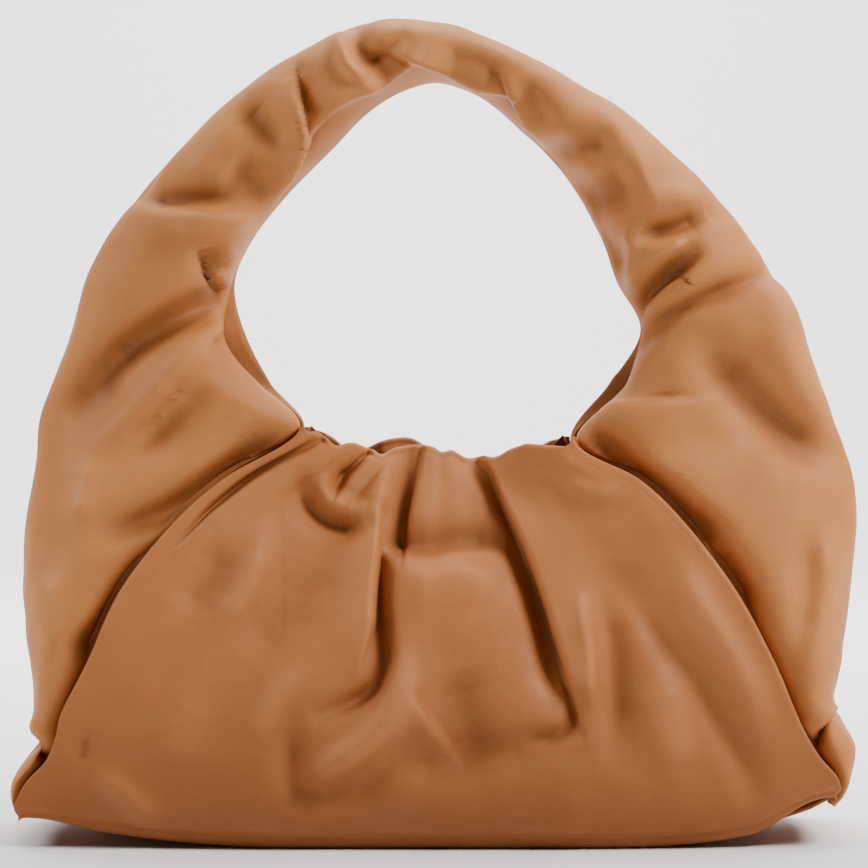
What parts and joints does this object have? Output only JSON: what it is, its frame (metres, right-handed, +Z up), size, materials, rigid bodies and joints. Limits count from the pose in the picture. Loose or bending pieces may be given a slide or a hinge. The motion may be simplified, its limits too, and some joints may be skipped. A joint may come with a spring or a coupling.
{
  "type": "shoulder bag",
  "caption": "Soft leather shoulder bag: gathered pouch on a flat base, with a wide puffy band that forms the sides and the shoulder strap.",
  "frame": {"origin": "middle of the object's bounding box in X and Y, at the level of the underside", "axes": "+X to the right in the picture, along the bag's width; +Y away from the viewer, from front to back; +Z up"},
  "size_m": [0.4057, 0.1579, 0.3916],
  "materials": {
    "panel_leather": "smooth, soft sheen",
    "strap_leather": "smooth, soft sheen",
    "base_leather": "smooth, slightly rubbed"
  },
  "bodies": {
    "root": {"front_panel": "panel_leather", "back_panel": "panel_leather", "left_side": "strap_leather", "right_side": "strap_leather", "shoulder_strap": "strap_leather", "base_panel": "base_leather"}
  },
  "joints": []
}
